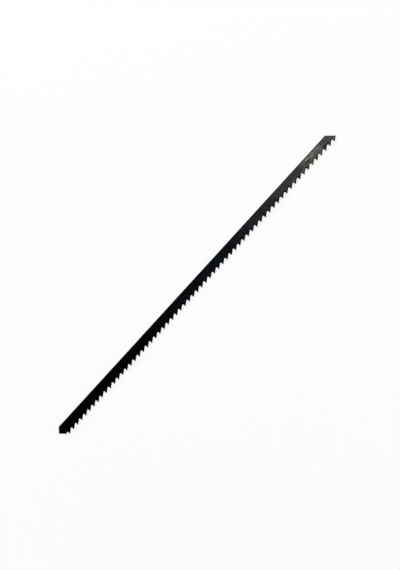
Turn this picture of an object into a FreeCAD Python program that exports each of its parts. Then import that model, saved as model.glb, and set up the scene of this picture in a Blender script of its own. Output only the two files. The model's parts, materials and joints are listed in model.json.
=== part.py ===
# Jigsaw blade with plain ends: one flat strip of steel, toothed along its whole length.
# Each tooth has a square cutting face towards the heel and is bent to one side, its
# neighbours to the other, so that the blade cuts a slot wider than its own thickness.
#
# In the sketches X runs from the heel to the nose, Y = 0 is the line of the tooth tips,
# and the back edge lies at +Y. Placed, the origin is on the resting plane, under the
# middle of the blade, with the teeth towards -Y and +Z up.
import FreeCAD, Part
import math
import os
import Sketcher

# Driving sizes, in millimetres
SIZES = {
    "length_overall": 165.0,     # heel point to nose end
    "thickness": 0.65,
    "heel_width": 5.3,           # tooth tips to back edge at the heel
    "nose_width": 4.45,          # the same at the nose, where the back edge has tapered
    "back_edge_radius": 0.12,
    "tooth_pitch": 2.54,         # ten teeth to the inch
    "tooth_depth": 1.3,          # tip to the bottom of the gullet
    "tip_land": 0.05,            # flat left on each tip
    "gullet_radius": 0.38,
    "first_tip": 3.05,           # heel point to the first whole tooth's cutting face
    "set_offset": 0.2,           # how far a tip stands proud of the side
    "set_height": 0.8,           # how much of the tooth is bent, from the tip down
    "set_bend_radius": 0.6,      # on the inside of the bend
    "heel_point_drop": 1.95,     # back edge to the point of the heel
    "heel_back_reach": 2.14,     # length of blade that the heel's cut takes off the back
    "heel_front_reach": 2.9,     # length of blade that the heel's cut takes off the teeth
    "nose_land_height": 1.4,     # top of the nose's square end, above the tips
    "nose_back_reach": 2.78,     # length of blade that the nose's slanting cut takes off
}

# A band of bent metal starts ahead of its tooth and ends in the gullet behind it
BAND_LEAD = "0.2 * Sizes.tooth_pitch"
BAND_LENGTH = "0.9 * Sizes.tooth_pitch"

# Teeth are counted from the first whole one, and a partial one stands before it
TOOTH_COUNT = "(floor((Sizes.length_overall - Sizes.first_tip) / Sizes.tooth_pitch) + 1)"
PARTIAL_TIP = "(Sizes.first_tip - Sizes.tooth_pitch)"

# Counted, not measured: the places on a piece of sketch geometry, and the sketch's own axes
START, END, CENTRE = range(1, 4)
LENGTH_AXIS, HEIGHT_AXIS = range(-1, -3, -1)
ORIGIN = (LENGTH_AXIS, START)

FACING_UP = FreeCAD.Rotation()
TURNED_OVER = FreeCAD.Rotation(FreeCAD.Vector(1.0, 0.0, 0.0), 180.0)


def write_sizes(doc):
    """Put the driving sizes in a sheet, one to a row, with their names as aliases."""
    sheet = doc.addObject("Spreadsheet::Sheet", "Sizes")
    for row, (name, value) in enumerate(SIZES.items(), start=1):
        sheet.set(f"A{row}", name)
        sheet.set(f"B{row}", str(value))
        sheet.setAlias(f"B{row}", name)
    doc.recompute()


def origin_feature(body, role):
    """Find one of the body's own planes or axes."""
    return next(item for item in body.Origin.OriginFeatures if item.Role == role)


def new_sketch(body, name, plane):
    """Start a sketch that lies flat on one of the body's own planes."""
    sketch = body.newObject("Sketcher::SketchObject", name)
    sketch.AttachmentSupport = [(origin_feature(body, plane), "")]
    sketch.MapMode = "FlatFace"
    return sketch


def point(x, y):
    """A place in a sketch's own plane."""
    return FreeCAD.Vector(x, y, 0.0)


def add_line(sketch, start, end):
    """Draw a straight line and give its number."""
    return sketch.addGeometry(Part.LineSegment(start, end))


def add_arc(sketch, centre, radius, from_angle, to_angle):
    """Draw an arc, anticlockwise, and give its number."""
    circle = Part.Circle(centre, FreeCAD.Vector(0.0, 0.0, 1.0), radius)
    return sketch.addGeometry(Part.ArcOfCircle(circle, from_angle, to_angle))


def add_rule(sketch, kind, *places):
    """Hold geometry level, upright, parallel, tangent or joined."""
    sketch.addConstraint(Sketcher.Constraint(kind, *places))


def add_size(sketch, kind, first, second, expression):
    """Tie the distance between two places, along X or Y, to the sheet."""
    gap = sketch.getPoint(*second) - sketch.getPoint(*first)
    value = gap.x if kind == "DistanceX" else gap.y
    index = sketch.addConstraint(Sketcher.Constraint(kind, *first, *second, value))
    sketch.setExpression(f"Constraints[{index}]", expression)


def add_radius(sketch, arc, name):
    """Tie the radius of an arc to the sheet."""
    index = sketch.addConstraint(Sketcher.Constraint("Radius", arc, SIZES[name]))
    sketch.setExpression(f"Constraints[{index}]", f"Sizes.{name}")


def add_polygon(sketch, corners):
    """Draw a closed outline of straight lines, joined end to end, and give their numbers."""
    ends = corners[1:] + corners[:1]
    lines = [add_line(sketch, start, end) for start, end in zip(corners, ends)]
    for line, following in zip(lines, lines[1:] + lines[:1]):
        add_rule(sketch, "Coincident", line, END, following, START)
    return lines


def finish_feature(body, feature, grows):
    """Make a feature the body's tip, and see that it added or took away metal."""
    before = 0.0 if body.Shape.isNull() else body.Shape.Volume
    body.Tip = feature
    body.Document.recompute()
    change = body.Shape.Volume - before
    if (change > 0.0) != grows:
        raise RuntimeError(f"{feature.Name} changed the volume by {change:.4f}")


def add_strip(body):
    """The flat strip from the bend line to the back edge, which tapers to the nose."""
    sketch = new_sketch(body, "strip_outline", "XY_Plane")
    front, nose, back, heel = add_polygon(sketch, [
        point(0.0, SIZES["set_height"]),
        point(SIZES["length_overall"], SIZES["set_height"]),
        point(SIZES["length_overall"], SIZES["nose_width"]),
        point(0.0, SIZES["heel_width"]),
    ])
    add_rule(sketch, "Horizontal", front)
    add_rule(sketch, "Vertical", nose)
    add_rule(sketch, "Vertical", heel)
    add_rule(sketch, "PointOnObject", front, START, HEIGHT_AXIS)
    add_size(sketch, "DistanceX", (front, START), (front, END), "Sizes.length_overall")
    add_size(sketch, "DistanceY", ORIGIN, (front, START), "Sizes.set_height")
    add_size(sketch, "DistanceY", ORIGIN, (back, START), "Sizes.nose_width")
    add_size(sketch, "DistanceY", ORIGIN, (back, END), "Sizes.heel_width")
    strip = body.newObject("PartDesign::Pad", "strip")
    strip.Profile = sketch
    strip.SideType = "Symmetric"
    strip.setExpression("Length", "Sizes.thickness")
    finish_feature(body, strip, grows=True)
    return strip


def is_back_edge(edge):
    """Tell whether an edge runs the blade's length along its back."""
    first, last = (vertex.Point for vertex in edge.Vertexes)
    runs_along = abs(last.x - first.x) > SIZES["heel_width"]
    return runs_along and min(first.y, last.y) > SIZES["set_height"]


def round_back(body, strip):
    """Round the two long edges of the back, as on rolled strip."""
    edges = [f"Edge{n}" for n, edge in enumerate(strip.Shape.Edges, start=1) if is_back_edge(edge)]
    rounding = body.newObject("PartDesign::Fillet", "back_rounding")
    rounding.Base = (strip, edges)
    rounding.setExpression("Radius", "Sizes.back_edge_radius")
    finish_feature(body, rounding, grows=False)


def set_angle():
    """How far a bent tooth leans: the angle at which bend and straight reach the offset."""
    rise = SIZES["set_bend_radius"] - SIZES["set_offset"]
    reach = math.hypot(SIZES["set_height"], rise)
    return math.asin(SIZES["set_bend_radius"] / reach) - math.atan2(rise, SIZES["set_height"])


def draw_bent_section(sketch):
    """Section across a bent tooth: a curve from the bend line, then straight to the tip."""
    half = SIZES["thickness"] / 2
    inner_radius = SIZES["set_bend_radius"]
    outer_radius = inner_radius + SIZES["thickness"]
    centre = point(SIZES["set_height"], half + inner_radius)
    lean = set_angle()
    down = 1.5 * math.pi
    inner = add_arc(sketch, centre, inner_radius, down - lean, down)
    outer = add_arc(sketch, centre, outer_radius, down - lean, down)
    inner_end = sketch.getPoint(inner, START)
    outer_end = sketch.getPoint(outer, START)
    inner_tip = point(0.0, inner_end.y + inner_end.x * math.tan(lean))
    outer_tip = point(0.0, outer_end.y + outer_end.x * math.tan(lean))
    inner_side = add_line(sketch, inner_end, inner_tip)
    tip = add_line(sketch, inner_tip, outer_tip)
    outer_side = add_line(sketch, outer_tip, outer_end)
    root = add_line(sketch, sketch.getPoint(outer, END), sketch.getPoint(inner, END))

    add_rule(sketch, "Tangent", inner, START, inner_side, START)
    add_rule(sketch, "Coincident", inner_side, END, tip, START)
    add_rule(sketch, "Coincident", tip, END, outer_side, START)
    add_rule(sketch, "Tangent", outer_side, END, outer, START)
    add_rule(sketch, "Coincident", outer, END, root, START)
    add_rule(sketch, "Coincident", root, END, inner, END)
    add_rule(sketch, "Coincident", inner, CENTRE, outer, CENTRE)
    add_rule(sketch, "Vertical", inner, CENTRE, inner, END)
    add_rule(sketch, "Vertical", root)
    add_rule(sketch, "Parallel", inner_side, outer_side)
    add_rule(sketch, "PointOnObject", tip, START, HEIGHT_AXIS)
    add_rule(sketch, "PointOnObject", tip, END, HEIGHT_AXIS)
    add_size(sketch, "DistanceX", ORIGIN, (root, END), "Sizes.set_height")
    add_size(sketch, "DistanceY", ORIGIN, (root, END), "Sizes.thickness / 2")
    add_size(sketch, "DistanceY", (root, START), ORIGIN, "Sizes.thickness / 2")
    add_size(sketch, "DistanceY", (root, END), (tip, START), "Sizes.set_offset")
    add_radius(sketch, inner, "set_bend_radius")


def add_bent_teeth(body, side, turn, first_tip, count):
    """Every second tooth as a band of metal bent to one side, from the given tip on."""
    sketch = new_sketch(body, f"{side}_set_section", "YZ_Plane")
    sketch.AttachmentOffset = FreeCAD.Placement(FreeCAD.Vector(), turn)
    sketch.setExpression("AttachmentOffset.Base.z", f"{first_tip} - {BAND_LEAD}")
    draw_bent_section(sketch)
    band = body.newObject("PartDesign::Pad", f"{side}_set_band")
    band.Profile = sketch
    band.Reversed = turn == TURNED_OVER
    band.setExpression("Length", BAND_LENGTH)
    finish_feature(body, band, grows=True)
    repeat_along(body, band, "2 * Sizes.tooth_pitch", count, grows=True)


def repeat_along(body, feature, spacing, count, grows):
    """Repeat a feature along the blade."""
    pattern = body.newObject("PartDesign::LinearPattern", f"{feature.Name}s")
    pattern.Originals = [feature]
    pattern.Direction = (origin_feature(body, "X_Axis"), [""])
    pattern.Mode = "Spacing"
    pattern.setExpression("Offset", spacing)
    pattern.setExpression("Occurrences", count)
    finish_feature(body, pattern, grows)


def draw_gullet(sketch):
    """One gullet: the back slope of a tooth, a round bottom and the next tooth's face."""
    face = SIZES["first_tip"]
    radius = SIZES["gullet_radius"]
    clear = -SIZES["tooth_depth"]
    tip = point(face - SIZES["tooth_pitch"] + SIZES["tip_land"], 0.0)
    centre = point(face - radius, SIZES["tooth_depth"] - radius)
    across = centre - tip
    relief = math.atan2(across.y, across.x) + math.asin(radius / across.Length)
    bottom = add_arc(sketch, centre, radius, 0.0, math.pi / 2 + relief)
    face_top = sketch.getPoint(bottom, START)
    slope = add_line(sketch, tip, sketch.getPoint(bottom, END))
    cutting_face = add_line(sketch, face_top, point(face, clear))
    outside = add_line(sketch, point(face, clear), point(tip.x, clear))
    entry = add_line(sketch, point(tip.x, clear), tip)

    add_rule(sketch, "Tangent", slope, END, bottom, END)
    add_rule(sketch, "Tangent", bottom, START, cutting_face, START)
    add_rule(sketch, "Coincident", cutting_face, END, outside, START)
    add_rule(sketch, "Coincident", outside, END, entry, START)
    add_rule(sketch, "Coincident", entry, END, slope, START)
    add_rule(sketch, "Vertical", cutting_face)
    add_rule(sketch, "Horizontal", outside)
    add_rule(sketch, "Vertical", entry)
    add_rule(sketch, "PointOnObject", slope, START, LENGTH_AXIS)
    add_size(sketch, "DistanceX", ORIGIN, (slope, START), f"{PARTIAL_TIP} + Sizes.tip_land")
    add_size(sketch, "DistanceX", ORIGIN, (cutting_face, START), "Sizes.first_tip")
    add_size(sketch, "DistanceY", (cutting_face, END), ORIGIN, "Sizes.tooth_depth")
    add_size(sketch, "DistanceY", ORIGIN, (bottom, CENTRE), "Sizes.tooth_depth - Sizes.gullet_radius")
    add_radius(sketch, bottom, "gullet_radius")


def cut_through(body, sketch, name):
    """Cut an outline right through the blade, both ways from its middle plane."""
    cut = body.newObject("PartDesign::Pocket", name)
    cut.Profile = sketch
    cut.SideType = "Symmetric"
    cut.Type = "ThroughAll"
    finish_feature(body, cut, grows=False)
    return cut


def cut_gullets(body):
    """Mill the gullets, one before each tooth and one behind the last."""
    sketch = new_sketch(body, "gullet_outline", "XY_Plane")
    draw_gullet(sketch)
    gullet = cut_through(body, sketch, "gullet")
    repeat_along(body, gullet, "Sizes.tooth_pitch", f"{TOOTH_COUNT} + 1", grows=False)


def trim_heel(body):
    """Snip the heel to a point, with each slanting cut drawn to twice its length."""
    point_height = SIZES["heel_width"] - SIZES["heel_point_drop"]
    above = SIZES["heel_width"] + SIZES["heel_point_drop"]
    clear = -SIZES["tooth_pitch"]
    sketch = new_sketch(body, "heel_cut_outline", "XY_Plane")
    back_cut, top, end, bottom, front_cut = add_polygon(sketch, [
        point(0.0, point_height),
        point(2 * SIZES["heel_back_reach"], above),
        point(clear, above),
        point(clear, -point_height),
        point(2 * SIZES["heel_front_reach"], -point_height),
    ])
    add_rule(sketch, "Horizontal", top)
    add_rule(sketch, "Vertical", end)
    add_rule(sketch, "Horizontal", bottom)
    add_rule(sketch, "PointOnObject", back_cut, START, HEIGHT_AXIS)
    add_size(sketch, "DistanceY", ORIGIN, (back_cut, START), "Sizes.heel_width - Sizes.heel_point_drop")
    add_size(sketch, "DistanceX", ORIGIN, (top, START), "2 * Sizes.heel_back_reach")
    add_size(sketch, "DistanceY", (back_cut, START), (top, START), "2 * Sizes.heel_point_drop")
    add_size(sketch, "DistanceX", (end, START), ORIGIN, "Sizes.tooth_pitch")
    add_size(sketch, "DistanceX", ORIGIN, (front_cut, START), "2 * Sizes.heel_front_reach")
    add_size(sketch, "DistanceY", (front_cut, START), ORIGIN, "Sizes.heel_width - Sizes.heel_point_drop")
    cut_through(body, sketch, "heel_cut")


def trim_nose(body):
    """Cut the nose square at its end, then on a slant to the back, drawn to twice its length."""
    length = SIZES["length_overall"]
    slant_rise = SIZES["nose_width"] - SIZES["nose_land_height"]
    above = SIZES["nose_land_height"] + 2 * slant_rise
    clear = 2 * SIZES["tooth_pitch"]
    sketch = new_sketch(body, "nose_cut_outline", "XY_Plane")
    square_end, slant, top, end, bottom = add_polygon(sketch, [
        point(length, -clear),
        point(length, SIZES["nose_land_height"]),
        point(length - 2 * SIZES["nose_back_reach"], above),
        point(length + clear, above),
        point(length + clear, -clear),
    ])
    add_rule(sketch, "Vertical", square_end)
    add_rule(sketch, "Horizontal", top)
    add_rule(sketch, "Vertical", end)
    add_rule(sketch, "Horizontal", bottom)
    add_size(sketch, "DistanceX", ORIGIN, (slant, START), "Sizes.length_overall")
    add_size(sketch, "DistanceY", ORIGIN, (slant, START), "Sizes.nose_land_height")
    add_size(sketch, "DistanceX", (top, START), (slant, START), "2 * Sizes.nose_back_reach")
    add_size(sketch, "DistanceY", (slant, START), (top, START),
             "2 * (Sizes.nose_width - Sizes.nose_land_height)")
    add_size(sketch, "DistanceX", (slant, START), (end, START), "2 * Sizes.tooth_pitch")
    add_size(sketch, "DistanceY", (square_end, START), ORIGIN, "2 * Sizes.tooth_pitch")
    cut_through(body, sketch, "nose_cut")


def place_blade(body):
    """Set the blade down on its tips, centred over the origin."""
    body.setExpression("Placement.Base.x", "-Sizes.length_overall / 2")
    body.setExpression("Placement.Base.y", "-Sizes.heel_width / 2")
    body.setExpression("Placement.Base.z", "Sizes.thickness / 2 + Sizes.set_offset")


def make_blade(doc):
    """The whole blade, in the order in which it is made: strip, set teeth, gullets, ends."""
    body = doc.addObject("PartDesign::Body", "blade")
    body.Label = "blade"
    doc.recompute()
    strip = add_strip(body)
    round_back(body, strip)
    add_bent_teeth(body, "up", FACING_UP, "Sizes.first_tip", f"ceil({TOOTH_COUNT} / 2)")
    add_bent_teeth(body, "down", TURNED_OVER, PARTIAL_TIP, f"floor({TOOTH_COUNT} / 2) + 1")
    cut_gullets(body)
    trim_heel(body)
    trim_nose(body)
    place_blade(body)
    doc.recompute()
    return body


def check_model(doc, bodies):
    """Stop if anything in the model failed or a piece is not one valid solid."""
    for item in doc.Objects:
        if "Invalid" in item.State or "Error" in item.State:
            raise RuntimeError(f"{item.Name} failed: {item.State}")
    for body in bodies:
        shape = body.Shape
        if shape.isNull() or not shape.isValid() or len(shape.Solids) != 1:
            raise RuntimeError(f"{body.Label} is not one valid solid")


def write_parts(bodies):
    """Write one file for each piece, under its label."""
    os.makedirs("parts", exist_ok=True)
    for body in bodies:
        body.Shape.exportStep(f"parts/{body.Label}.step")
        box = body.Shape.BoundBox
        print(f"{body.Label}: {box.XLength:.3f} x {box.YLength:.3f} x {box.ZLength:.3f} mm,",
              f"volume {body.Shape.Volume:.3f} mm3, {len(body.Shape.Faces)} faces")


def main():
    """Build the blade and write it."""
    doc = FreeCAD.newDocument("jigsaw_blade")
    write_sizes(doc)
    bodies = [make_blade(doc)]
    check_model(doc, bodies)
    write_parts(bodies)


main()
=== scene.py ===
import json
import math
from functools import reduce

import bmesh
import bpy
from bpy.props import FloatProperty, FloatVectorProperty, PointerProperty
from mathutils import Matrix, Vector


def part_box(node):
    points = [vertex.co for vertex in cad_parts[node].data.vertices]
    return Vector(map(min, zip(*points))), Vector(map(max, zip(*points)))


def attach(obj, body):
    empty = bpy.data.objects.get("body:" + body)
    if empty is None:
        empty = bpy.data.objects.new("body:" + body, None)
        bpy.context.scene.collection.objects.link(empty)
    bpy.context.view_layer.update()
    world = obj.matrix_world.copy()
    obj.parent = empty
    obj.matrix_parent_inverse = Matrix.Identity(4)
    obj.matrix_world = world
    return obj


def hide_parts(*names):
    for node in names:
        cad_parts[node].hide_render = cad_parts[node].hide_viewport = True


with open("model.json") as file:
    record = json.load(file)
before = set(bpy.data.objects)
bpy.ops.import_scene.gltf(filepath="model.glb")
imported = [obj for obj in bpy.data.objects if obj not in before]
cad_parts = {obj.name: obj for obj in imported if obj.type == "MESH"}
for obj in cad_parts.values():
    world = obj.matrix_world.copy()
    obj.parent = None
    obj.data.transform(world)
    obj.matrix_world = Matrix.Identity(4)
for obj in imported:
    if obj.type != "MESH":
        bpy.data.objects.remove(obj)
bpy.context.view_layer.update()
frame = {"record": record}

bl_info = {
    "name": "Jigsaw blade",
    "version": (1, 0, 0),
    "blender": (4, 5, 0),
    "location": "3D View > Sidebar > Blade",
    "description": "Builds a blackened jigsaw blade with set teeth, and a small studio to show it in",
    "category": "Object",
}

# What the frame says of the blade: its box, and the two sides that a saw's clamps grip
BLADE_LOW, BLADE_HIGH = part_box("blade")
SIDE_PLACES = {mount["name"]: Vector(mount["pos_m"]) for mount in frame["record"]["mounts"]}
UPPER_SIDE = SIDE_PLACES["heel_upper_side"].z
LOWER_SIDE = SIDE_PLACES["heel_lower_side"].z

MILLIMETRES = 1000.0

# How finely curves are divided, how near to a cut a corner counts as on it, where edges count as
# sharp, and to how many decimals of a metre corners that should meet are matched
GULLET_STEPS = 12
BEND_STEPS = 6
ROUNDING_STEPS = 6
SNAP = 2e-7
SHARP_ANGLE = math.radians(35.0)
CORNER_DIGITS = 9

# Teeth before the first whole one, which the cut at the heel trims. For its lean, a tooth begins
# this share of a pitch before its cutting face
LEADING_TEETH = 2
FACE_LEAD = 0.25

# Unevenness of the steel: features to the millimetre along, across and through the blade, then the
# detail and the roughness of the noise
CLOUDS = {"features": (0.10, 0.10, 0.10), "detail": 3.0, "roughness": 0.5}
MOTTLE = {"features": (0.35, 0.35, 0.35), "detail": 5.0, "roughness": 0.65}
FLECKS = {"features": (1.3, 1.3, 1.3), "detail": 4.0, "roughness": 0.6}
SPECKLE = {"features": (7.0, 7.0, 7.0), "detail": 4.0, "roughness": 0.65}
ROLLED = {"features": (0.15, 11.0, 11.0), "detail": 4.0, "roughness": 0.6}
MILLED = {"features": (9.0, 9.0, 0.5), "detail": 3.0, "roughness": 0.5}
PATCHES = {"features": (0.45, 0.8, 0.8), "detail": 4.0, "roughness": 0.5}

# How much each kind of unevenness counts in the oxide's shade, in the outline of a spot, in how
# easily the finish rubs off, in the roughness and in the relief
SHADE_MIX = {"marks": 1.0, "flecks": 1.2, "speckle": 0.6, "mottle": 0.9}
OUTLINE_MIX = {"flecks": 1.2, "speckle": 2.6, "marks": 1.4}
RUBBING_MIX = {"marks": 1.3, "speckle": 1.0, "flecks": 0.8}
ROUGHNESS_MIX = {"marks": 0.14, "speckle": 0.14, "clouds": 0.16, "flecks": 0.10}
RELIEF_MIX = {"marks": 1.0, "speckle": 0.5}

# How much darker or lighter the shade makes a colour, as a share of it
SHADE_RANGE = 0.5

# How wide a stretch each border in the finish wanders over with the mottle, in millimetres
ZONE_DRIFT = 24.0
SLATE_DRIFT = 12.0
WEAR_DRIFT = 8.0

# Past the worn stretch: the shares by which less steel shows and the thinning and its painted sheen are
# weaker
WEAR_LOST = 0.9
THINNING_AND_SHEEN_LOST = 0.35

# Noise begins to be a patch of wear, or a place that rubs off easily, above the first of each pair
# and is fully one from the second
PATCH_FROM = 0.40
PATCH_FULL = 0.64
RUBBING_FROM = 0.25
RUBBING_FULL = 0.75

# A face counts as one of the blade's sides by how level it lies: not below the first, fully from
# the second
EDGE_LEVEL = 0.45
SIDE_LEVEL = 0.75

# A spot fades out between these shares of its half length and half width, and the outline of a
# chip is less ragged than the other spots', by this factor
SPOT_CORE = 0.5
SPOT_END = 1.2
CHIP_RAGGEDNESS = 0.8

# The painted shade on the rim is full up to the first distance from the outline, and the bright
# arris, worn bare and partly a painted highlight, is as wide as the second, in millimetres
RIM_CORE = 0.1
ARRIS_WIDTH = 0.05

# How dark the painted shade makes the rim and the teeth that lean away, how sound the finish stays
# in the sound spots, and how much the flecks change that
RIM_PAINTED_SHADE = 0.7
RIM_FLECKED = 1.2
LEANING_PAINTED_SHADE = 0.9
LEANING_FLECKED = 0.9
SPOT_SOUND = 0.78

# A tooth that leans away gets painted shade from the first of these heights down to the second, in
# tooth depths, and from the border between two teeth to where the sine of its phase reaches the last
LEANING_TOP = 1.25
LEANING_FULL = 0.85
LEANING_PHASE = 0.4

# How much steel shows on the arris at the nose, worn bare and partly a painted highlight, and how much the
# flecks change that
ARRIS_BARE_AND_HIGHLIT = 0.06
ARRIS_FLECKED = 0.24

# How much the speckle changes the tarnish, and how much of it the sound finish and the painted shade hide
TARNISH_SPECKLED = 1.12
TARNISH_HIDDEN = 0.6

# How much rougher the edges are, how much smoother worn steel is, and how strongly the marks show
EDGE_ROUGHER = 0.06
WORN_SMOOTHER = 0.05
RELIEF_STRENGTH = 0.6

# Marks on the finish near the nose, in millimetres: along the blade and above the tips to the
# middle of each, then half its length and half its width
WORN_SPOTS = (
    (140.9, 1.7, 0.8, 0.3), (145.6, 1.4, 0.6, 0.3), (150.4, 3.5, 2.2, 0.5), (153.0, 2.7, 0.9, 0.4),
    (153.6, 3.4, 0.8, 0.4), (153.1, 1.7, 0.6, 0.5), (157.0, 3.4, 1.4, 0.3), (157.0, 2.4, 1.0, 0.45),
    (162.9, 1.9, 0.45, 0.35),
)
TARNISHED_SPOTS = (
    (150.6, 1.6, 1.7, 0.9), (150.3, 0.5, 0.5, 0.6), (156.3, 1.5, 2.0, 0.6), (158.3, 0.8, 0.5, 0.6),
    (158.0, 2.2, 0.9, 0.6),
)
CHIPPED_SPOTS = ((163.75, 1.08, 0.36, 0.21), (157.9, 2.9, 0.4, 0.09), (152.7, 2.8, 0.55, 0.18))
SOUND_SPOTS = (
    (147.6, 2.6, 3.0, 0.25), (150.0, 2.7, 0.7, 0.35), (156.0, 0.5, 0.9, 0.7), (159.0, 1.9, 0.9, 0.5),
    (161.1, 0.7, 0.9, 0.7),
)

# Bearings from which softboxes light the blade
TOWARDS_NOSE = 0.0
TOWARDS_BACK = math.pi / 2

# Half the floor's side and how far below the blade it lies, in metres
FLOOR_REACH = 4.0
FLOOR_GAP = 0.00001

# Where the white walls end and the dim ceiling begins, by the sine of the height above the horizon
WALL_TOP = 0.35
CEILING_EDGE = 0.55
WHITE = (1.0, 1.0, 1.0)

# The camera's picture in millimetres, and the nearest thing that it shows in metres
PICTURE_HEIGHT = 36.0
NEAREST_SHOWN = 0.01


def distance(name, default, description):
    """A size in metres that a user may change."""
    return FloatProperty(name=name, description=description, default=default, unit="LENGTH", precision=5)


def angle(name, degrees, description):
    """An angle in degrees that a user may change."""
    default = math.radians(degrees)
    return FloatProperty(name=name, description=description, default=default, subtype="ANGLE")


def share(name, default, description):
    """A share from 0 to 1 that a user may change."""
    return FloatProperty(
        name=name, description=description, default=default, subtype="FACTOR", min=0.0, max=1.0
    )


def power(name, default, description):
    """The power of a lamp, in watts, that a user may change."""
    return FloatProperty(name=name, description=description, default=default, unit="POWER", min=0.0)


def lens(name, default, description):
    """The focal length of a lens, in millimetres, that a user may change."""
    return FloatProperty(name=name, description=description, default=default, unit="CAMERA", min=1.0)


def colour(name, default, description):
    """A colour that a user may change."""
    return FloatVectorProperty(
        name=name, description=description, default=default, subtype="COLOR", size=3, min=0.0, max=1.0
    )


class BladeSizes(bpy.types.PropertyGroup):
    """The blade's real sizes, the same as in its solid."""

    length_overall: distance("Length", BLADE_HIGH.x - BLADE_LOW.x, "Heel point to nose end")
    thickness: distance("Thickness", UPPER_SIDE - LOWER_SIDE, "Of the strip, between its flat sides")
    heel_width: distance("Heel width", 0.0053, "Tooth tips to back edge at the heel")
    nose_width: distance("Nose width", 0.00445, "Tooth tips to back edge at the nose")
    back_edge_radius: distance("Back rounding", 0.00012, "Radius of the two long edges of the back")
    tooth_pitch: distance("Tooth pitch", 0.00254, "One tip to the next")
    tooth_depth: distance("Tooth depth", 0.0013, "Tip to the bottom of the gullet")
    tip_land: distance("Tip land", 0.00005, "Flat left on each tip")
    gullet_radius: distance("Gullet radius", 0.00038, "Rounding at the bottom of each gullet")
    first_tip: distance("First tip", 0.00305, "Heel point to the first whole tooth's cutting face")
    set_offset: distance("Set", LOWER_SIDE - BLADE_LOW.z, "How far a tip stands proud of the side")
    set_height: distance("Set height", 0.0008, "Tip of a tooth to where its bend begins")
    set_bend_radius: distance("Bend radius", 0.0006, "On the inside of the bend")
    heel_point_drop: distance("Heel point drop", 0.00195, "Back edge to the point of the heel")
    heel_back_reach: distance("Heel back cut", 0.00214, "Blade that the heel's cut takes off the back")
    heel_front_reach: distance("Heel front cut", 0.0029, "Blade that the heel's cut takes off the teeth")
    nose_land_height: distance("Nose land", 0.0014, "Top of the nose's square end, above the tips")
    nose_back_reach: distance("Nose back cut", 0.00278, "Blade that the nose's slanting cut takes off")


class BladeFinish(bpy.types.PropertyGroup):
    """The blackened steel, the way it has worn, and the sheen, shade and highlights painted into it."""

    black: colour("Black oxide", (0.0050, 0.0052, 0.0056), "Sound finish at the heel")
    blue: colour("Blue-black oxide", (0.0082, 0.0115, 0.0155), "Finish in the middle of the blade")
    # The slate and thin grey tones are partly painted sheen: their lightening towards the nose stands in
    # for the softbox's reflection growing there
    slate: colour("Slate oxide", (0.020, 0.022, 0.029), "Finish where it begins to thin")
    grey: colour("Thin oxide", (0.048, 0.047, 0.045), "Finish rubbed thin towards the nose")
    bare: colour("Bare steel", (0.320, 0.296, 0.256), "Steel that shows where the finish is worn through")
    brown: colour("Brown tarnish", (0.102, 0.080, 0.057), "Tarnish by the roots of the last teeth")
    edge_tint: colour("Edge tint", (0.42, 0.42, 0.43), "How much the finish mirrors at a glancing angle")
    roughness: share("Roughness", 0.34, "Of the sound finish")
    blue_start: distance("Bluish from", 0.052, "Heel point to where the finish begins to look blue")
    blue_full: distance("Blue from", 0.083, "Heel point to where it looks fully blue")
    slate_start: distance("Slate from", 0.102, "Heel point to where the finish begins to look slate grey")
    slate_full: distance("Fully slate from", 0.117, "Heel point to where it looks fully slate grey")
    # Partly painted sheen: from here the finish lightens towards the nose, as well as rubbing thin
    sheen_and_rub_start: distance("Rubbed from", 0.110, "Heel point to where the finish begins to thin")
    sheen_and_rub_full: distance("Rubbed grey from", 0.152, "Heel point to where it is thin all over")
    wear_start: distance("Worn from", 0.143, "Heel point to where steel begins to show")
    wear_full: distance("Worn through from", 0.152, "Heel point to where most steel shows")
    wear_end: distance("Worn up to", 0.161, "Heel point to where less steel shows again")
    worn_all_over: share("Worn all over", 0.0925, "Steel that shows everywhere in the worn stretch")
    worn_patches: share("Worn patches", 0.37, "Steel that shows in its patches besides")
    worn_spots: share("Worn spots", 0.666, "Steel that shows in the larger worn spots")
    chips: share("Chips", 0.8, "Steel that shows where the finish is chipped off")
    tarnish: share("Tarnish", 0.52, "How far the brown covers the steel in the tarnished spots")
    relief: distance("Relief", 0.000006, "Depth of the rolling and milling marks")
    # The back rim and the tooth rim are widths of painted shade along the outline, as well as of sound
    # finish
    shaded_back_rim: distance("Back rim", 0.00045, "Width of sound finish left along the back edge")
    shaded_tooth_rim: distance("Tooth rim", 0.00085, "Width of sound finish left round the gullets")


class StudioSettings(bpy.types.PropertyGroup):
    """The camera, the lamps and what stands round the blade."""

    camera_distance: distance("Camera distance", 0.6, "Camera to the place that it looks at")
    aim_along: distance("Aim along", 0.00203, "Place that the camera looks at, along the blade")
    aim_across: distance("Aim across", -0.001256, "Place that the camera looks at, across the blade")
    lean: angle("Lean", 7.243, "How far the camera leans from upright towards the nose")
    slope: angle("Slope", 48.05, "How steeply the blade rises in the picture")
    focal_length: lens("Focal length", 94.14, "For a picture 36 mm tall")
    softbox_side: distance("Softbox side", 0.6, "Length and width of each softbox")
    softbox_reach: distance("Softbox distance", 1.0, "Blade to the middle of each softbox")
    key_power: power("Key power", 5.0, "Softbox on the side of the nose")
    key_tilt: angle("Key tilt", 25.0, "How far the key hangs from straight above, towards the nose")
    fill_power: power("Fill power", 5.0, "Softbox on the side of the back edge")
    fill_tilt: angle("Fill tilt", 45.0, "How far the fill hangs from straight above")
    ceiling: colour("Ceiling", (0.02, 0.02, 0.02), "Dim ceiling above the white walls")
    floor_colour: colour("Floor", (0.94, 0.94, 0.94), "Plain pale floor")
    floor_glow: share("Floor glow", 0.8, "How far the floor shows as plain white beside the blade")
    fade_start: distance("Fade from", 0.05, "Blade's middle to where the floor's shade begins to fade")
    fade_end: distance("Fade to", 0.35, "Blade's middle to where the floor is plain white")


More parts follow.
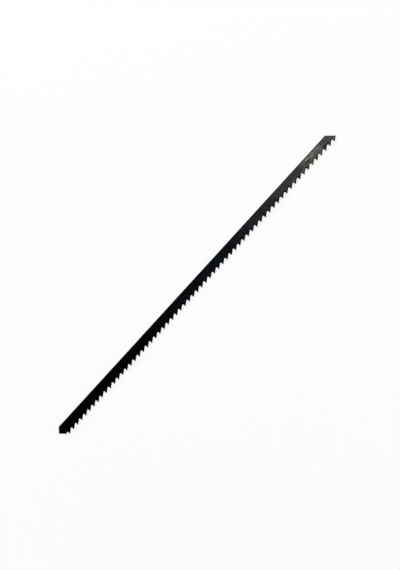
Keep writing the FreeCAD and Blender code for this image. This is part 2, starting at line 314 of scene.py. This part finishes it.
class Signal:
    """A socket that takes part in arithmetic: each operation adds its node."""

    def __init__(self, graph, socket):
        self.graph = graph
        self.socket = socket

    def math(self, operation, *terms):
        """Put this value through a Math node, alone or with another."""
        return self.graph.math(operation, self, *terms)

    def __add__(self, other):
        return self.math("ADD", other)

    def __radd__(self, other):
        return self.graph.math("ADD", other, self)

    def __sub__(self, other):
        return self.math("SUBTRACT", other)

    def __rsub__(self, other):
        return self.graph.math("SUBTRACT", other, self)

    def __mul__(self, other):
        return self.math("MULTIPLY", other)

    def __rmul__(self, other):
        return self.graph.math("MULTIPLY", other, self)

    def __truediv__(self, other):
        return self.math("DIVIDE", other)

    def __rtruediv__(self, other):
        return self.graph.math("DIVIDE", other, self)

    def least(self, other):
        """The smaller of two values."""
        return self.math("MINIMUM", other)

    def most(self, other):
        """The larger of two values."""
        return self.math("MAXIMUM", other)

    def step(self, start, end):
        """Rise smoothly from 0 at start to 1 at end, or fall where end is the lower."""
        settings = {"interpolation_type": "SMOOTHSTEP"}
        inputs = {"Value": self, "From Min": start, "From Max": end}
        return self.graph.node("ShaderNodeMapRange", settings, inputs)

    def blend(self, first, second):
        """Mix two colours: the first where this value is 0, the second where it is 1."""
        inputs = {"Factor_Float": self, "A_Color": first, "B_Color": second}
        return self.graph.node("ShaderNodeMix", {"data_type": "RGBA"}, inputs, "Result_Color")


class ShaderGraph:
    """Adds nodes to a material or a world and links them."""

    def __init__(self, owner):
        owner.use_nodes = True
        self.tree = owner.node_tree
        self.tree.nodes.clear()

    @staticmethod
    def find(sockets, name):
        """Find a socket by its identifier, or else by its name."""
        matches = [socket for socket in sockets if socket.identifier == name]
        return matches[0] if matches else sockets[name]

    def node(self, kind, settings=None, inputs=None, output=None):
        """Add a node, with its settings made first, and give one of its outputs."""
        node = self.tree.nodes.new(kind)
        for name, value in (settings or {}).items():
            setattr(node, name, value)
        for name, value in (inputs or {}).items():
            socket = self.find(node.inputs, name)
            if isinstance(value, Signal):
                self.tree.links.new(value.socket, socket)
            elif socket.type == "RGBA":
                socket.default_value = (*value, 1.0)
            else:
                socket.default_value = value
        if not node.outputs:
            return None
        return Signal(self, self.find(node.outputs, output) if output else node.outputs[0])

    def math(self, operation, *terms):
        """Add a Math node that works on one or two values."""
        inputs = dict(zip(("Value", "Value_001"), terms))
        return self.node("ShaderNodeMath", {"operation": operation}, inputs)

    def noise(self, place, features, detail, roughness):
        """Noise from 0 to 1, about one half, with so many features to each unit of the place."""
        place = self.stretched(place, features)
        inputs = {"Vector": place, "Scale": 1.0, "Detail": detail, "Roughness": roughness}
        return self.node("ShaderNodeTexNoise", None, inputs, "Fac")

    def stretched(self, place, stretch):
        """Stretch or squeeze a place along each axis."""
        inputs = {"Vector": place, "Vector_001": stretch}
        return self.node("ShaderNodeVectorMath", {"operation": "MULTIPLY"}, inputs)

    def parts(self, vector):
        """The three parts of a vector."""
        split = self.node("ShaderNodeSeparateXYZ", None, {"Vector": vector})
        return [Signal(self, socket) for socket in split.socket.node.outputs]


def set_angle(size):
    """How far a bent tooth leans."""
    rise = size.set_bend_radius - size.set_offset
    reach = math.hypot(size.set_height, rise)
    return math.asin(size.set_bend_radius / reach) - math.atan2(rise, size.set_height)


def bend_rise(size, radius, reach):
    """How far one side of a bent tooth has risen, that far from the bend line."""
    lean = set_angle(size)
    curved = radius * math.sin(lean)
    if reach <= 0.0:
        return 0.0
    if reach < curved:
        return radius - math.sqrt(radius ** 2 - reach ** 2)
    return radius * (1.0 - math.cos(lean)) + (reach - curved) * math.tan(lean)


def back_line(size, x):
    """Height of the back edge above the tips, that far from the heel."""
    return size.heel_width + (size.nose_width - size.heel_width) * x / size.length_overall


def side_heights(size, x, y):
    """Heights of the upper and the lower side from the middle plane of the strip."""
    inset = max(0.0, size.back_edge_radius - (back_line(size, x) - y))
    inset = min(inset, size.back_edge_radius)
    fall = size.back_edge_radius - math.sqrt(size.back_edge_radius ** 2 - inset ** 2)
    half = size.thickness / 2 - fall
    reach = size.set_height - y
    inner_rise = bend_rise(size, size.set_bend_radius, reach)
    outer_rise = bend_rise(size, size.set_bend_radius + size.thickness, reach)
    tooth = math.floor((x - size.first_tip) / size.tooth_pitch + FACE_LEAD)
    if tooth % 2 == 0:
        return half + inner_rise, outer_rise - half
    return half - outer_rise, -half - inner_rise


def gullet_curve(size):
    """The lower edge from a tooth's tip, down its back and round to the foot of the next face."""
    radius = size.gullet_radius
    centre = Vector((size.tooth_pitch - radius, size.tooth_depth - radius))
    slope_start = Vector((size.tip_land, 0.0))
    across = centre - slope_start
    relief = math.atan2(across.y, across.x) + math.asin(radius / across.length)
    sweep = math.pi / 2 + relief
    curve = [Vector((0.0, 0.0)), slope_start]
    for step in range(GULLET_STEPS + 1):
        turn = sweep * (1.0 - step / GULLET_STEPS)
        curve.append(centre + radius * Vector((math.cos(turn), math.sin(turn))))
    return curve


def tooth_cells(size):
    """Outlines for each tooth: its own, up to the body, and the piece of body behind it."""
    curve = gullet_curve(size)
    foot = curve[-1].y
    body = size.tooth_depth + size.gullet_radius
    teeth = math.floor((size.length_overall - size.first_tip) / size.tooth_pitch) + 1
    for tooth in range(-LEADING_TEETH, teeth):
        left = size.first_tip + tooth * size.tooth_pitch
        right = left + size.tooth_pitch
        edge = [(left + place.x, place.y) for place in curve[:-1]]
        yield edge + [(right, foot), (right, body), (left, body), (left, foot)]
        yield [(left, body), (right, body), (right, back_line(size, right)), (left, back_line(size, left))]


def slice_flat(flat, place, normal, trim=False):
    """Cut a row of edges where a plane crosses, and trim away what lies beyond it if asked."""
    parts = flat.verts[:] + flat.edges[:] + flat.faces[:]
    bmesh.ops.bisect_plane(
        flat, geom=parts, dist=SNAP, plane_co=(*place, 0.0), plane_no=(*normal, 0.0), clear_outer=trim
    )


def slice_bends(flat, size):
    """Cut rows where the set teeth curve."""
    lean = set_angle(size)
    outer_radius = size.set_bend_radius + size.thickness
    reaches = [outer_radius * math.sin(lean * step / BEND_STEPS) for step in range(BEND_STEPS + 1)]
    reaches.append(size.set_bend_radius * math.sin(lean))
    for reach in reaches:
        slice_flat(flat, (0.0, size.set_height - reach), (0.0, 1.0))


def slice_rounding(flat, size):
    """Cut rows where the back edge is rounded, in line with its taper."""
    taper = (size.heel_width - size.nose_width) / size.length_overall
    for step in range(ROUNDING_STEPS):
        turn = math.pi / 2 * step / ROUNDING_STEPS
        inset = size.back_edge_radius * (1.0 - math.sin(turn))
        slice_flat(flat, (0.0, size.heel_width - inset), (taper, 1.0))


def trim_ends(flat, size):
    """Trim the snipped heel and the nose, each cut leaving the side of it that is kept."""
    point = (0.0, size.heel_width - size.heel_point_drop)
    nose_corner = (size.length_overall, size.nose_land_height)
    nose_rise = size.nose_width - size.nose_land_height
    slice_flat(flat, point, (-size.heel_point_drop, size.heel_back_reach), trim=True)
    slice_flat(flat, point, (-point[1], -size.heel_front_reach), trim=True)
    slice_flat(flat, nose_corner, (1.0, 0.0), trim=True)
    slice_flat(flat, nose_corner, (nose_rise, size.nose_back_reach), trim=True)


def flat_outline(size):
    """The blade's side as one flat mesh, with rows of edges where it will curve."""
    flat = bmesh.new()
    corners = {}
    for outline in tooth_cells(size):
        keys = [(round(x, CORNER_DIGITS), round(y, CORNER_DIGITS)) for x, y in outline]
        for key in keys:
            if key not in corners:
                corners[key] = flat.verts.new((*key, 0.0))
        flat.faces.new([corners[key] for key in keys])
    slice_bends(flat, size)
    slice_rounding(flat, size)
    trim_ends(flat, size)
    loose = [edge for edge in flat.edges if not edge.link_faces]
    bmesh.ops.delete(flat, geom=loose, context="EDGES")
    return flat


def thicken(flat, size):
    """Turn the flat outline into the closed strip, with its bent teeth and rounded back."""
    strip = bmesh.new()
    upper, lower = {}, {}
    for place in flat.verts:
        x, y, _ = place.co
        high, low = side_heights(size, x, y)
        upper[place] = strip.verts.new((x, y, high))
        lower[place] = strip.verts.new((x, y, low))
    for face in flat.faces:
        strip.faces.new([upper[corner] for corner in face.verts])
        strip.faces.new([lower[corner] for corner in reversed(face.verts)])
    for edge in flat.edges:
        if edge.is_boundary:
            side = edge.link_loops[0]
            start, end = side.vert, side.link_loop_next.vert
            strip.faces.new([lower[start], lower[end], upper[end], upper[start]])
    flat.free()
    return strip


def to_object(strip, name, place):
    """Make an object of the finished mesh, smooth but for its sharp edges."""
    bmesh.ops.translate(strip, verts=strip.verts, vec=place)
    mesh = bpy.data.meshes.new(name)
    strip.to_mesh(mesh)
    strip.free()
    mesh.shade_smooth()
    mesh.set_sharp_from_angle(angle=SHARP_ANGLE)
    piece = bpy.data.objects.new(name, mesh)
    bpy.context.scene.collection.objects.link(piece)
    weighting = piece.modifiers.new("flat_sides", "WEIGHTED_NORMAL")
    weighting.keep_sharp = True
    return piece


class BladeMap:
    """Where each point of the surface lies on the blade, in millimetres."""

    def __init__(self, graph, size):
        self.size = {name: MILLIMETRES * getattr(size, name) for name in size.__annotations__}
        metres = graph.node("ShaderNodeTexCoord", output="Object")
        self.place = graph.stretched(metres, (MILLIMETRES, MILLIMETRES, MILLIMETRES))
        x, y, _ = graph.parts(self.place)
        self.along = x + self.size["length_overall"] / 2
        self.above = y + self.size["heel_width"] / 2
        _, _, self.upward = graph.parts(graph.node("ShaderNodeNewGeometry", output="Normal"))
        self.side = self.upward.math("ABSOLUTE").step(EDGE_LEVEL, SIDE_LEVEL)
        self.from_teeth = self.inside_teeth()
        self.from_back = self.inside_back()
        self.from_outline = self.from_teeth.least(self.from_back).least(self.inside_ends())

    def stretch(self, start, full, drift=0.0):
        """Rise from 0 to 1 between two distances from the heel, given in metres."""
        return (self.along + drift).step(MILLIMETRES * start, MILLIMETRES * full)

    def leaning_away(self):
        """1 on the teeth that lean away from the side that a point is on, 0 elsewhere."""
        depth = self.size["tooth_depth"]
        turn = (self.along - self.size["first_tip"]) / self.size["tooth_pitch"] + FACE_LEAD
        towards = (math.pi * turn).math("SINE") * self.upward.math("SIGN")
        on_tooth = self.above.step(LEANING_TOP * depth, LEANING_FULL * depth)
        return towards.step(0.0, -LEANING_PHASE) * on_tooth

    def inside(self, along, above, outward):
        """How far a point lies inside a straight cut through one place, given the way out of it."""
        across, up = Vector(outward).normalized()
        return (along - self.along) * across + (above - self.above) * up

    def inside_teeth(self):
        """How far a point lies from the gullets."""
        size = self.size
        behind_tip = (self.along - size["first_tip"]).math("FLOORED_MODULO", size["tooth_pitch"])
        run = size["tooth_pitch"] - size["gullet_radius"] - size["tip_land"]
        relief = math.atan2(size["tooth_depth"], run)
        slope = (behind_tip - size["tip_land"]) * math.tan(relief)
        above_slope = (self.above - slope.least(size["tooth_depth"])) * math.cos(relief)
        behind_face = behind_tip.most(self.above - size["tooth_depth"])
        return above_slope.least(behind_face)

    def inside_back(self):
        """How far a point lies inside the back edge."""
        size = self.size
        taper = size["heel_width"] - size["nose_width"]
        return self.inside(0.0, size["heel_width"], (taper, size["length_overall"]))

    def inside_ends(self):
        """How far a point lies inside the nearest cut of the heel or the nose."""
        size = self.size
        heel_point = (0.0, size["heel_width"] - size["heel_point_drop"])
        nose_corner = (size["length_overall"], size["nose_land_height"])
        nose_rise = size["nose_width"] - size["nose_land_height"]
        heel_back = self.inside(*heel_point, (-size["heel_point_drop"], size["heel_back_reach"]))
        heel_front = self.inside(*heel_point, (-heel_point[1], -size["heel_front_reach"]))
        nose_land = self.inside(*nose_corner, (1.0, 0.0))
        nose_back = self.inside(*nose_corner, (nose_rise, size["nose_back_reach"]))
        return heel_back.least(heel_front).least(nose_land).least(nose_back)

    def spot(self, along, above, half_length, half_width, ragged):
        """A soft oval spot, 1 in its middle, with a ragged edge."""
        length = (self.along - along) / half_length
        width = (self.above - above) / half_width
        away = (length * length + width * width).math("SQRT")
        return (away + ragged).step(SPOT_END, SPOT_CORE)


class SteelGrain:
    """Unevenness of the steel, from broad clouds to fine marks, each on both sides of zero."""

    def __init__(self, graph, blade):
        self.clouds = graph.noise(blade.place, **CLOUDS) - 0.5
        self.mottle = graph.noise(blade.place, **MOTTLE) - 0.5
        self.flecks = graph.noise(blade.place, **FLECKS) - 0.5
        self.speckle = graph.noise(blade.place, **SPECKLE) - 0.5
        rolled = graph.noise(blade.place, **ROLLED) - 0.5
        milled = graph.noise(blade.place, **MILLED) - 0.5
        self.marks = milled + blade.side * (rolled - milled)
        self.ragged = self.mix(OUTLINE_MIX)

    def mix(self, weights):
        """Several kinds of unevenness added up, each times its weight."""
        first, *others = [weight * getattr(self, name) for name, weight in weights.items()]
        return sum(others, first)


def strongest(blade, spots, ragged):
    """The strongest of several soft spots at each point."""
    return reduce(Signal.most, [blade.spot(*spot, ragged) for spot in spots])


def shaded(shade, tone):
    """A colour made darker where the shade is 0 and lighter where it is 1."""
    darker = [(1.0 - SHADE_RANGE) * part for part in tone]
    lighter = [(1.0 + SHADE_RANGE) * part for part in tone]
    return shade.blend(darker, lighter)


def oxide_and_sheen_colour(blade, grain, finish):
    """Black at the heel, bluish in the middle, and thinner and greyer towards the nose: partly oxide rubbed
    thin, partly painted sheen for the softbox's reflection growing there.
    """
    bluish = blade.stretch(finish.blue_start, finish.blue_full, ZONE_DRIFT * grain.mottle)
    slaty = blade.stretch(finish.slate_start, finish.slate_full, SLATE_DRIFT * grain.mottle)
    # Partly painted sheen: the finish lightens towards the nose, standing in for the softbox's reflection
    # growing there
    thinned_and_sheen = blade.stretch(finish.sheen_and_rub_start, finish.sheen_and_rub_full, ZONE_DRIFT * grain.mottle)
    thinned_and_sheen = thinned_and_sheen * (1.0 - THINNING_AND_SHEEN_LOST * blade.stretch(finish.wear_full, finish.wear_end))
    shade = 0.5 + grain.mix(SHADE_MIX)
    tone = bluish.blend(shaded(shade, finish.black), shaded(shade, finish.blue))
    tone = slaty.blend(tone, shaded(shade, finish.slate))
    return thinned_and_sheen.blend(tone, shaded(shade, finish.grey))


def sound_finish_and_painted_shade(blade, grain, finish):
    """Where the finish stays sound and black: painted shade on the rim and on teeth that lean away, and the
    dark spots.
    """
    shaded_tooth_rim = blade.from_teeth.step(MILLIMETRES * finish.shaded_tooth_rim, RIM_CORE)
    shaded_back_rim = blade.from_back.step(MILLIMETRES * finish.shaded_back_rim, RIM_CORE)
    # Painted shade: the finish darkens along the back edge and round the gullets, where the rounded and
    # tilted edges reflect away from the softboxes
    rim = shaded_tooth_rim.most(shaded_back_rim) * (RIM_PAINTED_SHADE + RIM_FLECKED * grain.flecks)
    # Painted shade: teeth that lean away reflect less of the softboxes, so their finish is darkened
    leaning = blade.leaning_away() * (LEANING_PAINTED_SHADE + LEANING_FLECKED * grain.flecks)
    spots = SPOT_SOUND * strongest(blade, SOUND_SPOTS, grain.ragged)
    return rim.most(leaning).most(spots) * blade.side


def wear(graph, blade, grain, finish):
    """How far steel shows through the finish: in streaks and patches towards the nose."""
    patches = graph.noise(blade.place, **PATCHES).step(PATCH_FROM, PATCH_FULL)
    zone = blade.stretch(finish.wear_start, finish.wear_full, WEAR_DRIFT * grain.mottle)
    zone = zone * (1.0 - WEAR_LOST * blade.stretch(finish.wear_full, finish.wear_end))
    spots = strongest(blade, WORN_SPOTS, grain.ragged)
    worn = zone * (finish.worn_all_over + finish.worn_patches * patches) + finish.worn_spots * spots
    return worn * (0.5 + grain.mix(RUBBING_MIX)).step(RUBBING_FROM, RUBBING_FULL)


def bare_and_highlit_arris(blade, grain):
    """How far steel shows on the arris of the outline, more and more towards the nose: worn bare, and
    partly a painted highlight along the edges.
    """
    arris = blade.from_outline.step(ARRIS_WIDTH, 0.0) * blade.side
    towards_nose = blade.along / blade.size["length_overall"]
    return arris * towards_nose * (ARRIS_BARE_AND_HIGHLIT + ARRIS_FLECKED * grain.flecks)


def blackened_steel(size, finish):
    """Black oxide on rolled strip, bluish in the middle and rubbed grey towards the nose, with painted
    sheen, shade and edge highlights.
    """
    material = bpy.data.materials.new("blackened_steel")
    graph = ShaderGraph(material)
    blade = BladeMap(graph, size)
    grain = SteelGrain(graph, blade)

    sound_and_shaded = sound_finish_and_painted_shade(blade, grain, finish)
    worn = (wear(graph, blade, grain, finish) * (1.0 - sound_and_shaded)).most(0.0)
    # Worn steel on the arris, partly a painted highlight along the edges
    bare = worn.most(bare_and_highlit_arris(blade, grain))
    tarnished = strongest(blade, TARNISHED_SPOTS, grain.ragged) * (1.0 - TARNISH_HIDDEN * sound_and_shaded)
    tarnished = tarnished * (finish.tarnish + TARNISH_SPECKLED * grain.speckle)
    chipped = finish.chips * strongest(blade, CHIPPED_SPOTS, CHIP_RAGGEDNESS * grain.ragged) * blade.side

    # Painted shade: the rim and the teeth that lean away are darkened towards black
    steel = sound_and_shaded.blend(oxide_and_sheen_colour(blade, grain, finish), finish.black)
    steel = bare.blend(steel, finish.bare)
    steel = tarnished.blend(steel, finish.brown)
    steel = chipped.blend(steel, finish.bare)
    roughness = finish.roughness + grain.mix(ROUGHNESS_MIX)
    roughness = roughness + EDGE_ROUGHER * (1.0 - blade.side) - WORN_SMOOTHER * worn
    relief = graph.node("ShaderNodeBump", None, {
        "Strength": RELIEF_STRENGTH, "Distance": finish.relief, "Height": grain.mix(RELIEF_MIX),
    })
    surface = graph.node("ShaderNodeBsdfPrincipled", None, {
        "Base Color": steel, "Metallic": 1.0, "Roughness": roughness, "Normal": relief,
        "Specular Tint": finish.edge_tint,
    })
    graph.node("ShaderNodeOutputMaterial", None, {"Surface": surface})
    return material


def add_softbox(name, energy, side, reach, tilt, bearing):
    """Hang a square softbox that faces the blade, tilted from straight above towards a bearing."""
    lamp = bpy.data.lights.new(name, "AREA")
    lamp.shape = "SQUARE"
    lamp.size = side
    lamp.energy = energy
    softbox = bpy.data.objects.new(name, lamp)
    level = math.sin(tilt)
    direction = Vector((level * math.cos(bearing), level * math.sin(bearing), math.cos(tilt)))
    softbox.location = reach * direction
    softbox.rotation_euler = direction.to_track_quat("Z", "Y").to_euler()
    bpy.context.scene.collection.objects.link(softbox)


def floor_paper(studio):
    """Matt paper that keeps its shadows near the blade and fades to plain white further off."""
    material = bpy.data.materials.new("floor_paper")
    graph = ShaderGraph(material)
    x, y, _ = graph.parts(graph.node("ShaderNodeTexCoord", output="Object"))
    away = (x * x + y * y).math("SQRT").step(studio.fade_start, studio.fade_end)
    rays = graph.node("ShaderNodeLightPath").socket.node.outputs
    seen = [Signal(graph, rays[name]) for name in ("Is Camera Ray", "Is Glossy Ray", "Is Transmission Ray")]
    glow = (studio.floor_glow + (1.0 - studio.floor_glow) * away) * seen[0].most(seen[1]).most(seen[2])
    paper = graph.node("ShaderNodeBsdfDiffuse", None, {"Color": studio.floor_colour})
    white = graph.node("ShaderNodeEmission", None, {"Color": WHITE, "Strength": 1.0})
    surface = graph.node("ShaderNodeMixShader", None, {"Fac": glow, "Shader": paper, "Shader_001": white})
    graph.node("ShaderNodeOutputMaterial", None, {"Surface": surface})
    return material


def add_floor(studio):
    """A wide pale floor, just under the blade."""
    low = BLADE_LOW.z - FLOOR_GAP
    signs = ((-1, -1), (1, -1), (1, 1), (-1, 1))
    corners = [(FLOOR_REACH * x, FLOOR_REACH * y, low) for x, y in signs]
    mesh = bpy.data.meshes.new("floor")
    mesh.from_pydata(corners, [], [(0, 1, 2, 3)])
    mesh.materials.append(floor_paper(studio))
    floor = bpy.data.objects.new("floor", mesh)
    bpy.context.scene.collection.objects.link(floor)


def add_world(studio):
    """White walls round the horizon and a dim ceiling."""
    world = bpy.data.worlds.new("studio_walls")
    bpy.context.scene.world = world
    graph = ShaderGraph(world)
    _, _, height = graph.parts(graph.node("ShaderNodeTexCoord", output="Generated"))
    tone = height.step(WALL_TOP, CEILING_EDGE).blend(WHITE, studio.ceiling)
    light = graph.node("ShaderNodeBackground", None, {"Color": tone, "Strength": 1.0})
    graph.node("ShaderNodeOutputWorld", None, {"Surface": light})


def add_camera(studio):
    """Look down on the blade, leaning towards the nose, with the blade rising to the right."""
    data = bpy.data.cameras.new("camera")
    data.sensor_fit = "VERTICAL"
    data.sensor_height = PICTURE_HEIGHT
    data.lens = studio.focal_length
    data.clip_start = NEAREST_SHOWN
    camera = bpy.data.objects.new("camera", data)
    backward = Vector((math.sin(studio.lean), 0.0, math.cos(studio.lean)))
    picture_up = Vector((math.sin(studio.slope), math.cos(studio.slope), 0.0))
    right = picture_up.cross(backward).normalized()
    up = backward.cross(right)
    aim = Vector((studio.aim_along, studio.aim_across, (UPPER_SIDE + LOWER_SIDE) / 2))
    turn = Matrix((right, up, backward)).transposed().to_4x4()
    camera.matrix_world = Matrix.Translation(aim + studio.camera_distance * backward) @ turn
    bpy.context.scene.collection.objects.link(camera)
    bpy.context.scene.camera = camera


class BLADE_OT_toothed_strip(bpy.types.Operator):
    """Build the blade: the toothed strip and its blackened finish"""

    bl_idname = "blade.toothed_strip"
    bl_label = "Toothed strip"

    def execute(self, context):
        size = context.scene.blade_sizes
        strip = thicken(flat_outline(size), size)
        middle = (UPPER_SIDE + LOWER_SIDE) / 2
        piece = to_object(strip, "toothed_strip", Vector((BLADE_LOW.x, BLADE_LOW.y, middle)))
        piece.data.materials.append(blackened_steel(size, context.scene.blade_finish))
        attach(piece, "root")
        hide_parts("blade")
        return {"FINISHED"}


class BLADE_OT_studio(bpy.types.Operator):
    """Build the floor, the walls' light, the softboxes and the camera"""

    bl_idname = "blade.studio"
    bl_label = "Studio"

    def execute(self, context):
        studio = context.scene.blade_studio
        add_floor(studio)
        add_world(studio)
        side, reach = studio.softbox_side, studio.softbox_reach
        add_softbox("key_softbox", studio.key_power, side, reach, studio.key_tilt, TOWARDS_NOSE)
        add_softbox("fill_softbox", studio.fill_power, side, reach, studio.fill_tilt, TOWARDS_BACK)
        add_camera(studio)
        context.scene.view_settings.view_transform = "Standard"
        return {"FINISHED"}


class BLADE_PT_panel(bpy.types.Panel):
    """Sidebar panel with the blade's sizes, finish and studio"""

    bl_label = "Jigsaw blade"
    bl_idname = "BLADE_PT_panel"
    bl_space_type = "VIEW_3D"
    bl_region_type = "UI"
    bl_category = "Blade"

    def draw(self, context):
        scene = context.scene
        for heading, settings in (
            ("Sizes", scene.blade_sizes), ("Finish", scene.blade_finish), ("Studio", scene.blade_studio)
        ):
            box = self.layout.box()
            box.label(text=heading)
            for name in settings.__annotations__:
                box.prop(settings, name)
        for operator in OPERATORS:
            self.layout.operator(operator.bl_idname)


OPERATORS = (BLADE_OT_toothed_strip, BLADE_OT_studio)
CLASSES = (BladeSizes, BladeFinish, StudioSettings, *OPERATORS, BLADE_PT_panel)


def register():
    """Make the settings, the operators and the panel known."""
    for item in CLASSES:
        bpy.utils.register_class(item)
    bpy.types.Scene.blade_sizes = PointerProperty(type=BladeSizes)
    bpy.types.Scene.blade_finish = PointerProperty(type=BladeFinish)
    bpy.types.Scene.blade_studio = PointerProperty(type=StudioSettings)


def unregister():
    """Take them away again."""
    del bpy.types.Scene.blade_studio
    del bpy.types.Scene.blade_finish
    del bpy.types.Scene.blade_sizes
    for item in reversed(CLASSES):
        bpy.utils.unregister_class(item)


def main():
    """Register the add-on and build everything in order."""
    register()
    bpy.ops.blade.toothed_strip()
    bpy.ops.blade.studio()


if __name__ == "__main__":
    main()
